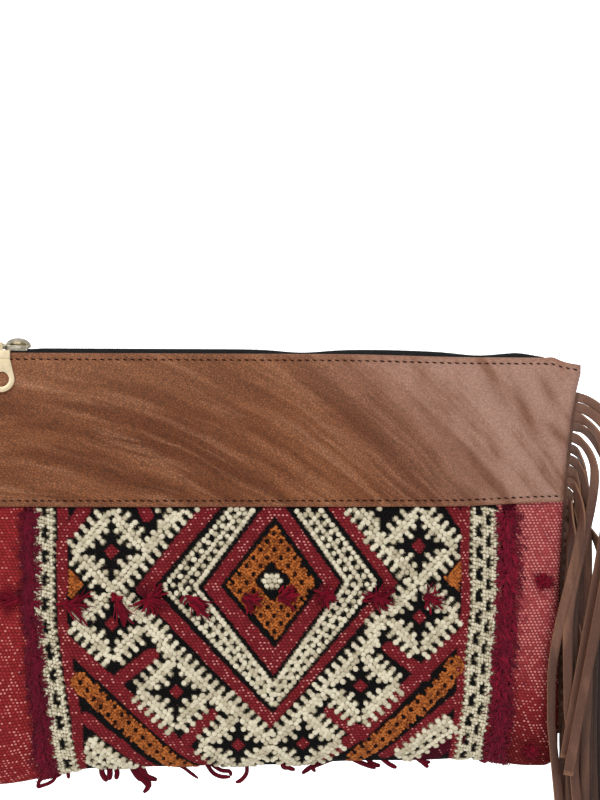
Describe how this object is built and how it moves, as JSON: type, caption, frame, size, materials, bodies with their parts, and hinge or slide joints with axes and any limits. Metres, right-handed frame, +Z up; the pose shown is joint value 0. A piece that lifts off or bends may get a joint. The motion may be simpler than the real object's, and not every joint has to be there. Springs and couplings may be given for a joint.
{
  "type": "fringe clutch bag",
  "caption": "Flat clutch bag: a kilim textile pocket under leather bands, closed by a zip along the top, with a long leather fringe hanging from one side seam.",
  "frame": {"origin": "on the zip line, at the middle of the bag's top edge, where a hand grips it", "axes": "+X to the right of someone facing the front, towards the fringe; the front faces -Y; +Z up"},
  "size_m": [0.3618, 0.04, 0.4081],
  "materials": {
    "kilim": "rough woven wool",
    "band_leather": "waxed pull-up",
    "fringe_leather": "satin",
    "zip_cloth": "woven tape",
    "zip_teeth": "moulded coil",
    "pale_brass": "polished"
  },
  "bodies": {
    "bag": {"kilim_pocket": "kilim", "leather_band_front": "band_leather", "leather_band_back": "band_leather", "side_fringe": "fringe_leather", "zip_tape_front": "zip_cloth", "zip_tape_back": "zip_cloth", "zip_chain": "zip_teeth", "zip_slider": "pale_brass"},
    "pull": {"zip_pull": "pale_brass"}
  },
  "joints": [
    {"name": "pull_swing", "type": "hinge", "parent": "bag", "child": "pull", "pos_m": [-0.1411, -0.0052, 0.0012], "axis": [-1, 0, 0], "range_deg": [0, 165]}
  ]
}
